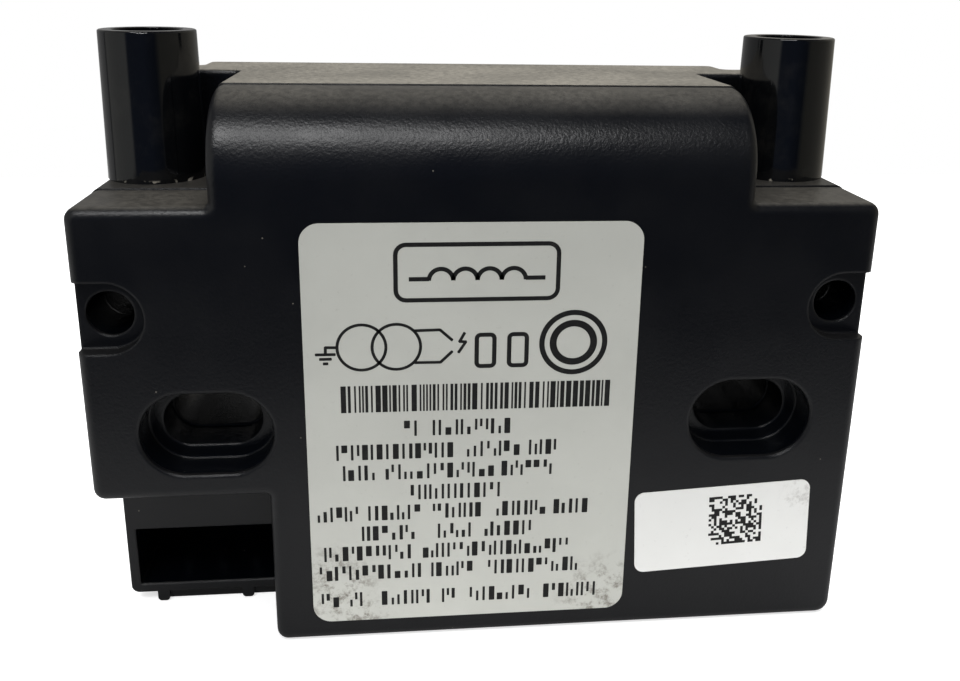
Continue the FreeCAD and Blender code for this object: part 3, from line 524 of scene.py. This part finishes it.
# rows of marks, in mm from the large label's lower left corner: the height of each row's middle, then where
# each group of marks starts and ends
ROWS = (
    (25.55, ((11.1, 13.2), (14.4, 17.9), (18.4, 23.1))),
    (22.65, ((3.3, 17.2), (18.4, 24.5), (25.7, 29.3))),
    (20.0, ((4.0, 7.7), (8.9, 21.3), (22.5, 29.0))),
    (17.25, ((11.8, 22.7),)),
    (14.65, ((0.9, 5.6), (6.8, 13.2), (14.4, 20.7), (22.0, 27.7), (28.9, 33.4))),
    (11.95, ((6.0, 12.7), (15.0, 19.3), (20.6, 26.8))),
    (9.3, ((1.5, 11.9), (13.2, 31.2))),
    (6.65, ((0.9, 12.9), (14.2, 19.7), (21.1, 32.4))),
    (2.95, ((1.0, 3.0), (4.4, 5.8), (8.2, 14.1), (15.5, 17.5), (18.9, 26.6), (28.0, 34.5))),
)


class PrintRows(bpy.types.Operator):
    """Prints the rows of plain marks on the large label"""

    bl_idname = "transformer.print_rows"
    bl_label = "Rows of marks"

    def execute(self, context):
        settings = context.scene.print_settings
        chance = random.Random(11)
        line, cap = settings.line, settings.cap
        bar = ink_block(line, cap, 0.06 * MM)
        marks = []
        for z, groups in ROWS:
            for start, end in groups:
                x = start
                while x < end - 0.2:
                    wide, high = chance.choice((0.8, 0.8, 1.1, 1.9)), chance.choice((1.0, 1.0, 0.72, 0.5))
                    raised = chance.choice((-0.5, 0.5)) * (1 - high) * cap / MM
                    across = wide * line / MM
                    marks.append(copy_of(bar, on_label(x + across / 2, z + raised, 0, wide, high)))
                    x += across + chance.choice((0.6, 0.8, 1.0)) * settings.gap / MM
        finish_print("rating_rows", marks, (bar,))
        return {"FINISHED"}


class PrintBars(bpy.types.Operator):
    """Prints the row of upright bars, whose widths are drawn by lot"""

    bl_idname = "transformer.print_bars"
    bl_label = "Row of bars"

    def execute(self, context):
        module = context.scene.print_settings.module
        chance = random.Random(5)
        bar = ink_block(module, 3.3 * MM, 0)
        x, end = 4.0 * MM, 35.2 * MM
        bars = []
        while x < end:
            wide = chance.choice((1, 1, 1.6, 2.4, 3))
            bars.append(copy_of(bar, on_label((x + wide * module / 2) / MM, 29.35, 0, wide)))
            x += (wide + chance.choice((0.8, 0.9, 1.0, 1.6, 2.0))) * module
        finish_print("bar_row", bars, (bar,))
        return {"FINISHED"}


class PrintCircuit(bpy.types.Operator):
    """Prints the sign for a transformer with its earth, its two coils and its spark gap"""

    bl_idname = "transformer.print_circuit"
    bl_label = "Circuit sign"

    def execute(self, context):
        line = context.scene.print_settings.line * 0.95
        length = 2.0 * MM
        ring = ink_ring(2.88 * MM, line)
        stroke = ink_block(length, line, line * 0.3)
        marks = [copy_of(ring, on_label(6.47, 35.65)), copy_of(ring, on_label(10.35, 35.65))]
        runs = (
            ((12.4, 37.55), (15.24, 37.6), (16.6, 36.35)),
            ((12.4, 33.7), (15.3, 33.68), (16.6, 34.95)),
            ((18.0, 37.15), (17.45, 36.15), (18.15, 36.1), (17.35, 34.85)),
            ((3.6, 35.72), (2.48, 35.74), (2.46, 35.0)),
            ((1.4, 34.9), (3.5, 34.9)),
            ((1.85, 34.35), (3.05, 34.35)),
            ((2.25, 33.8), (2.65, 33.8)),
        )
        for run in runs:
            for start, end in zip(run, run[1:]):
                marks.append(line_between(stroke, start, end, length, line))
        finish_print("circuit_sign", marks, (ring, stroke))
        return {"FINISHED"}


class PrintShapes(bpy.types.Operator):
    """Prints the plain shapes that fill the label's other fields: a framed coil, two frames and a ring"""

    bl_idname = "transformer.print_shapes"
    bl_label = "Plain shapes"

    def execute(self, context):
        line = 0.5 * MM
        long_frame = ink_frame(18.6 * MM, 6.9 * MM, 1.4 * MM, line)
        arch = ink_ring(1.6 * MM, line, True)
        lead = ink_block(2.2 * MM, line)
        marks = [copy_of(long_frame, on_label(19.4, 44.35))]
        for i in range(4):
            marks.append(copy_of(arch, on_label(15.35 + 2.7 * i, 43.4)))
        marks.append(copy_of(lead, on_label(12.9, 43.6)))
        marks.append(copy_of(lead, on_label(25.9, 43.6)))
        upright_frame = ink_frame(2.5 * MM, 4.3 * MM, 0.7 * MM, line)
        marks.append(copy_of(upright_frame, on_label(20.4, 35.0)))
        marks.append(copy_of(upright_frame, on_label(24.1, 35.0)))
        outer = ink_ring(3.95 * MM, 0.62 * MM)
        inner = ink_ring(2.75 * MM, 0.8 * MM)
        marks.append(copy_of(outer, on_label(30.48, 35.75)))
        marks.append(copy_of(inner, on_label(30.48, 35.75)))
        finish_print("plain_shapes", marks, (long_frame, arch, lead, upright_frame, outer, inner))
        return {"FINISHED"}


class PrintField(bpy.types.Operator):
    """Prints the chequered field on the small label, whose squares are drawn by lot"""

    bl_idname = "transformer.print_field"
    bl_label = "Chequered field"

    def execute(self, context):
        cell = context.scene.print_settings.cell
        chance = random.Random(23)
        square = ink_block(cell, cell, 0)
        middle = (SMALL_LOW + SMALL_HIGH) / 2
        spot = Vector((middle.x, FACE_Y + PRINT_GAP, middle.z))
        turned = Matrix.Translation(spot) @ Matrix.Rotation(math.radians(-3), 4, "Y")
        squares = []
        count, share = 20, 0.54
        aside, raised = 1.65 * MM, 0.8 * MM
        for row in range(count):
            for column in range(count):
                if chance.random() < share:
                    x = aside + (column - (count - 1) / 2) * cell
                    z = raised + (row - (count - 1) / 2) * cell
                    squares.append(copy_of(square, turned @ Matrix.Translation((x, 0, z))))
        finish_print("chequered_field", squares, (square,))
        return {"FINISHED"}


class DressMouldings(bpy.types.Operator):
    """Gives the front cover, the rear housing and the two outlets their moulded finish"""

    bl_idname = "transformer.dress_mouldings"
    bl_label = "Mouldings"

    def execute(self, context):
        finish = context.scene.moulding_finish
        dress(moulded_nylon(finish), "front_cover", "rear_housing", "input_pin_carrier")
        dress(polished_outlet(finish), "hv_outlet_tube_left", "hv_outlet_tube_right")
        return {"FINISHED"}


class DressLabels(bpy.types.Operator):
    """Gives the two labels their film"""

    bl_idname = "transformer.dress_labels"
    bl_label = "Labels"

    def execute(self, context):
        finish = context.scene.label_finish
        low, high = LABEL_LOW, LABEL_HIGH
        corners = (
            (low.x + 2.5 * MM, low.z + 5 * MM, 7 * MM),
            (low.x + 4 * MM, low.z, 7 * MM),
            (high.x - 2 * MM, low.z + 1.5 * MM, 8 * MM),
        )
        film = label_film("Polyester label film, coated", finish.rating, finish.dirt, corners, 0.35, 0.8)
        dress(film, "main_label")
        corners = ((SMALL_HIGH.x - 1.5 * MM, SMALL_HIGH.z - 2 * MM, 3.5 * MM),)
        film = label_film("White polyester label film", finish.code, finish.dirt, corners, 0.15, 0.35)
        dress(film, "small_label")
        return {"FINISHED"}


class DressWorks(bpy.types.Operator):
    """Gives the pieces inside the box their finishes"""

    bl_idname = "transformer.dress_works"
    bl_label = "Works"

    def execute(self, context):
        # tin over brass, barrel plated: soft white metal with a faint cloud
        tin = plain_material("Tinned brass, barrel plated", "#c9c6bd", "#aba79c", 1.2 * MM, 0.28, metal=1.0)
        # manganese zinc ferrite, pressed and sintered: dark grey and grainy
        ferrite = plain_material("Ferrite, sintered", "#35363a", "#25262a", 0.5 * MM, 0.55, 0.02 * MM)
        # natural nylon formers, moulded: milky, with a soft shine
        former = plain_material(
            "Natural nylon, injection moulded", "#d9d2bd", "#cbc3ab", 3 * MM, 0.42, 0.01 * MM
        )
        # enamelled copper, wound: lacquer over bright metal, with the turns 0.2 mm apart
        turns = (0.02, 0.02, 1.0)
        copper = plain_material(
            "Enamelled copper wire, wound", "#b5612c", "#7c3d1b", 0.2 * MM, 0.3, 0.03 * MM, 0.9, turns
        )
        # silicone rubber lead, extruded: matt and even
        lead = plain_material("Silicone rubber, extruded", "#a8342a", "#97291f", 4 * MM, 0.6)
        # glass-epoxy board, pressed: green lacquer with the weave under it
        board = plain_material(
            "Glass-epoxy laminate, lacquered", "#27593a", "#1f4a30", 0.6 * MM, 0.35, 0.01 * MM
        )
        # polyester box of the film capacitor, moulded: even and half glossy
        film_case = plain_material("Polyester box, moulded", "#8f2f22", "#83281c", 2 * MM, 0.4)
        # black epoxy moulding compound: matt, with the mould's fine grain
        epoxy = plain_material("Epoxy moulding compound", "#1b1b1d", "#131315", 0.4 * MM, 0.5, 0.01 * MM)
        # epoxy that the varistor's disc is dipped in: smooth, thick and a little uneven
        varistor = plain_material("Epoxy dip coating, blue", "#2c4c86", "#25417a", 1.5 * MM, 0.35, 0.02 * MM)
        # cement coating of the power resistor: matt and chalky
        cement = plain_material("Cement coating, green", "#6f8268", "#62745b", 0.8 * MM, 0.7, 0.02 * MM)
        # black potting resin, poured: dark, glossy and slightly wavy
        resin = plain_material("Polyurethane resin, poured", "#15130f", "#1d1a14", 6 * MM, 0.25, 0.05 * MM)
        dress(tin, "input_pin_line", "input_pin_neutral", "input_pin_earth")
        dress(tin, "hv_terminal_left", "hv_terminal_right")
        dress(ferrite, "ferrite_core_upper", "ferrite_core_lower")
        dress(former, "primary_bobbin", "secondary_bobbin_left", "secondary_bobbin_right")
        dress(copper, "primary_winding", "secondary_winding_left", "secondary_winding_right")
        dress(lead, "hv_lead_left", "hv_lead_right")
        dress(board, "circuit_board")
        dress(film_case, "film_capacitor")
        dress(epoxy, "fuse", "rectifier_diodes", "thyristor", "interference_choke")
        dress(varistor, "varistor")
        dress(cement, "power_resistor")
        dress(resin, "potting_compound")
        return {"FINISHED"}


class SetStage(bpy.types.Operator):
    """Lays the floor, sets the soft lights and puts the camera where the photograph was taken from"""

    bl_idname = "transformer.set_stage"
    bl_label = "Stage"

    def execute(self, context):
        settings = context.scene.stage_settings
        self.lay_floor(settings)
        self.light_room(context.scene, settings)
        self.hang_lights(settings)
        self.place_camera(context.scene, settings)
        context.scene.view_settings.view_transform = "Standard"
        return {"FINISHED"}

    def lay_floor(self, settings):
        start_modelling()
        bpy.ops.mesh.primitive_plane_add(size=settings.floor_size, location=(0, 0, -0.0001))
        floor = bpy.context.object
        floor.name = "floor"
        material = bpy.data.materials.new("White card")
        material.use_nodes = True
        tree = material.node_tree
        tree.nodes.clear()
        where = add(tree, "ShaderNodeTexCoord").outputs["Object"]
        ahead = add(tree, "ShaderNodeSeparateXYZ", {0: where}).outputs[1]
        rays = add(tree, "ShaderNodeLightPath")
        pale = add(tree, "ShaderNodeBsdfDiffuse", {"Color": grey(0.8)})
        glow = add(tree, "ShaderNodeEmission", {"Strength": 0.62})
        # to all but the camera the card ends a little way in front of the box, where the dark bench begins
        bench = opaque(linear("#171b25"))
        tone = blended(tree, spread(tree, ahead, -0.13, -0.03), bench, grey(0.38))
        mirrored = add(tree, "ShaderNodeBsdfDiffuse", {"Color": tone})
        tone = blended(tree, spread(tree, ahead, -0.085, -0.03), bench, grey(1.15))
        bounced = add(tree, "ShaderNodeBsdfDiffuse", {"Color": tone})
        lifted = add(tree, "ShaderNodeAddShader", {0: pale.outputs[0], 1: glow.outputs[0]})
        feeds = {0: rays.outputs["Is Glossy Ray"], 1: bounced.outputs[0], 2: mirrored.outputs[0]}
        unseen = add(tree, "ShaderNodeMixShader", feeds)
        feeds = {0: rays.outputs["Is Camera Ray"], 1: unseen.outputs[0], 2: lifted.outputs[0]}
        seen = add(tree, "ShaderNodeMixShader", feeds)
        add(tree, "ShaderNodeOutputMaterial", {"Surface": seen.outputs[0]})
        floor.data.materials.append(material)

    def light_room(self, scene, settings):
        world = bpy.data.worlds.new("Soft room")
        scene.world = world
        world.use_nodes = True
        tree = world.node_tree
        tree.nodes.clear()
        direction = add(tree, "ShaderNodeTexCoord").outputs["Generated"]
        axes = add(tree, "ShaderNodeSeparateXYZ", {0: direction})
        rays = add(tree, "ShaderNodeLightPath")
        # reflections see a room that is dark in front and bright at both sides
        ahead = worked(tree, "MULTIPLY", axes.outputs[1], -1.0)
        turn = worked(tree, "ARCTAN2", axes.outputs[0], ahead)
        turn = worked(tree, "ADD", worked(tree, "DIVIDE", turn, 2 * math.pi), 0.5)
        walls = add(tree, "ShaderNodeValToRGB", {0: turn})
        ramp = walls.color_ramp
        for index, (place, tone) in enumerate(ROOM):
            stop = ramp.elements[index] if index < 2 else ramp.elements.new(place)
            stop.position = place
            stop.color = opaque(linear(tone))
        # the ceiling is dark
        overhead = spread(tree, axes.outputs[2], 0.45, 0.85)
        mirrored = blended(tree, overhead, walls.outputs[0], opaque(linear("#33363c")))
        level = blended(tree, rays.outputs["Is Glossy Ray"], grey(settings.sky), mirrored)
        level = blended(tree, rays.outputs["Is Camera Ray"], level, grey(1.0))
        surroundings = add(tree, "ShaderNodeBackground", {"Color": level, "Strength": 1.0})
        add(tree, "ShaderNodeOutputWorld", {"Surface": surroundings.outputs[0]})

    def hang_lights(self, settings):
        # name, power, size, place, and whether the mouldings mirror it
        lights = (
            ("top_light", settings.top_power, (0.5, 0.5), (0.05, 0.05, 0.5), False),
            ("front_light", settings.fill_power, (0.3, 0.13), (-0.09, -0.3, 0.44), True),
        )
        for name, power, size, place, mirrored in lights:
            start_modelling()
            bpy.ops.object.light_add(type="AREA", location=place)
            lamp = bpy.context.object
            lamp.name = name
            lamp.data.energy = power
            lamp.data.shape = "RECTANGLE"
            lamp.data.size, lamp.data.size_y = size
            aim = Vector((0, 0, 0.03)) - Vector(place)
            lamp.rotation_euler = aim.to_track_quat("-Z", "Y").to_euler()
            lamp.visible_glossy = mirrored

    def place_camera(self, scene, settings):
        start_modelling()
        turned = [math.radians(angle) for angle in CAMERA_TURN]
        bpy.ops.object.camera_add(location=CAMERA_PLACE, rotation=turned)
        camera = bpy.context.object
        camera.data.sensor_width = 36
        camera.data.lens = settings.lens
        camera.data.shift_x, camera.data.shift_y = CAMERA_SHIFT
        camera.data.clip_start = 0.005
        camera.data.clip_end = 20
        scene.camera = camera


class TransformerPanel(bpy.types.Panel):
    """Lists the steps that finish the transformer, with their sizes and colours"""

    bl_idname = "VIEW3D_PT_transformer"
    bl_label = "Ignition transformer"
    bl_space_type = "VIEW_3D"
    bl_region_type = "UI"
    bl_category = "Transformer"

    def draw(self, context):
        for group, kind in GROUPS.items():
            box = self.layout.box()
            for name in kind.__annotations__:
                box.prop(getattr(context.scene, group), name)
        for step in STEPS:
            self.layout.operator(step.bl_idname)


GROUPS = {
    "moulding_finish": MouldingFinish,
    "label_finish": LabelFinish,
    "print_settings": PrintSettings,
    "stage_settings": StageSettings,
}
STEPS = (
    SetStage,
    DressMouldings,
    DressLabels,
    DressWorks,
    PrintRows,
    PrintBars,
    PrintCircuit,
    PrintShapes,
    PrintField,
)


def register():
    for name, group in GROUPS.items():
        bpy.utils.register_class(group)
        setattr(bpy.types.Scene, name, bpy.props.PointerProperty(type=group))
    for step in STEPS:
        bpy.utils.register_class(step)
    bpy.utils.register_class(TransformerPanel)


def unregister():
    bpy.utils.unregister_class(TransformerPanel)
    for step in reversed(STEPS):
        bpy.utils.unregister_class(step)
    for name, group in GROUPS.items():
        delattr(bpy.types.Scene, name)
        bpy.utils.unregister_class(group)


def main():
    register()
    bpy.ops.transformer.set_stage()
    bpy.ops.transformer.dress_mouldings()
    bpy.ops.transformer.dress_labels()
    bpy.ops.transformer.dress_works()
    bpy.ops.transformer.print_rows()
    bpy.ops.transformer.print_bars()
    bpy.ops.transformer.print_circuit()
    bpy.ops.transformer.print_shapes()
    bpy.ops.transformer.print_field()


if __name__ == "__main__":
    main()
